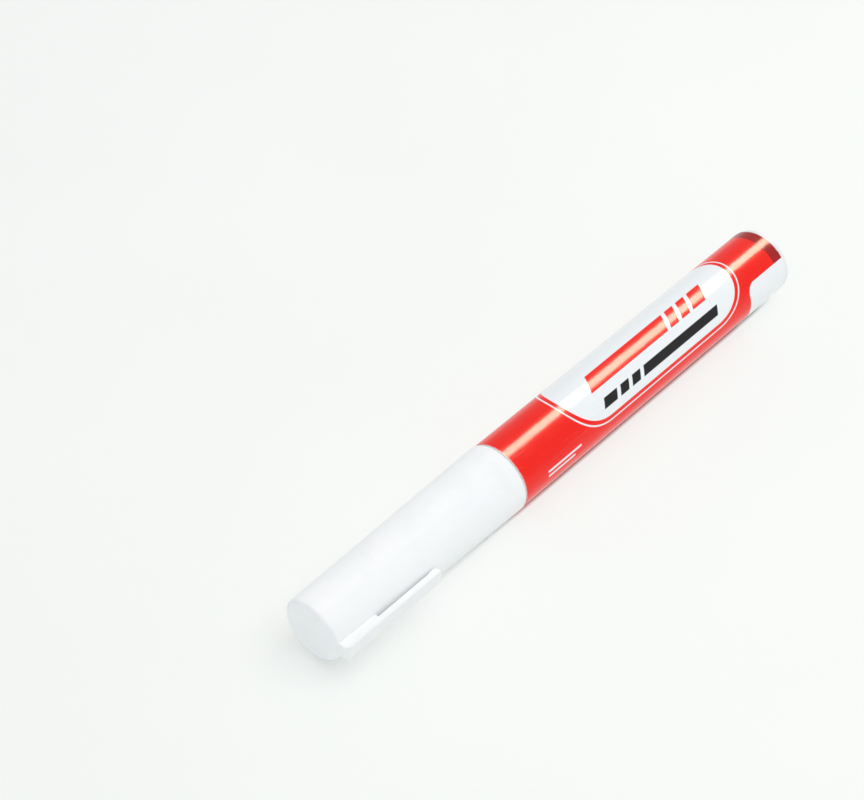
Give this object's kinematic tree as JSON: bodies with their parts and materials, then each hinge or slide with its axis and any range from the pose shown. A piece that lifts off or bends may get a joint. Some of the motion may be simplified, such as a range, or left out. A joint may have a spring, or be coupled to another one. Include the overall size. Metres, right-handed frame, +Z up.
{
  "type": "correction pen",
  "caption": "Capped correction pen with a printed barrel, a pull-off cap with moulded clip, and a spring-loaded valve behind its fibre nib.",
  "frame": {"origin": "on the surface that the pen lies on, below the middle of its box", "axes": "+X along the pen towards the cap's closed end, +Z up, the clip stands out towards +Y"},
  "size_m": [0.138, 0.0164, 0.0153],
  "materials": {
    "cap_white": "satin moulded",
    "barrel_white": "satin moulded",
    "plug_white": "satin moulded",
    "label_film": "gloss print",
    "section_white": "moulded",
    "nib_fibre": "bonded fibre",
    "valve_plastic": "moulded",
    "liner_natural": "moulded",
    "spring_steel": "drawn wire",
    "ball_steel": "polished"
  },
  "bodies": {
    "barrel": {"barrel_tube": "barrel_white", "label_wrap": "label_film", "tail_plug": "plug_white", "front_section": "section_white", "valve_seat": "valve_plastic", "valve_cage": "valve_plastic", "valve_spring": "spring_steel"},
    "cap": {"cap_shell": "cap_white", "cap_liner": "liner_natural"},
    "point": {"nib": "nib_fibre"},
    "plunger": {"valve_stem": "valve_plastic"},
    "ball": {"mixing_ball": "ball_steel"}
  },
  "joints": [
    {"name": "cap_pull", "type": "slide", "parent": "barrel", "child": "cap", "axis": [1, 0, 0], "range_m": [0, 0.06]},
    {"name": "point_press", "type": "slide", "parent": "barrel", "child": "point", "axis": [-1, 0, 0], "range_m": [0, 0.002], "stiffness_N_per_m": 350, "springref_m": -0.003},
    {"name": "valve_open", "type": "slide", "parent": "barrel", "child": "plunger", "axis": [-1, 0, 0], "range_m": [0, 0.002], "deforming": ["valve_spring"]},
    {"name": "ball_run", "type": "slide", "parent": "barrel", "child": "ball", "axis": [1, 0, 0], "range_m": [-0.0138, 0.0415]}
  ],
  "couplings": [
    {"joint": "valve_open", "follows": "point_press", "ratio": 1}
  ]
}
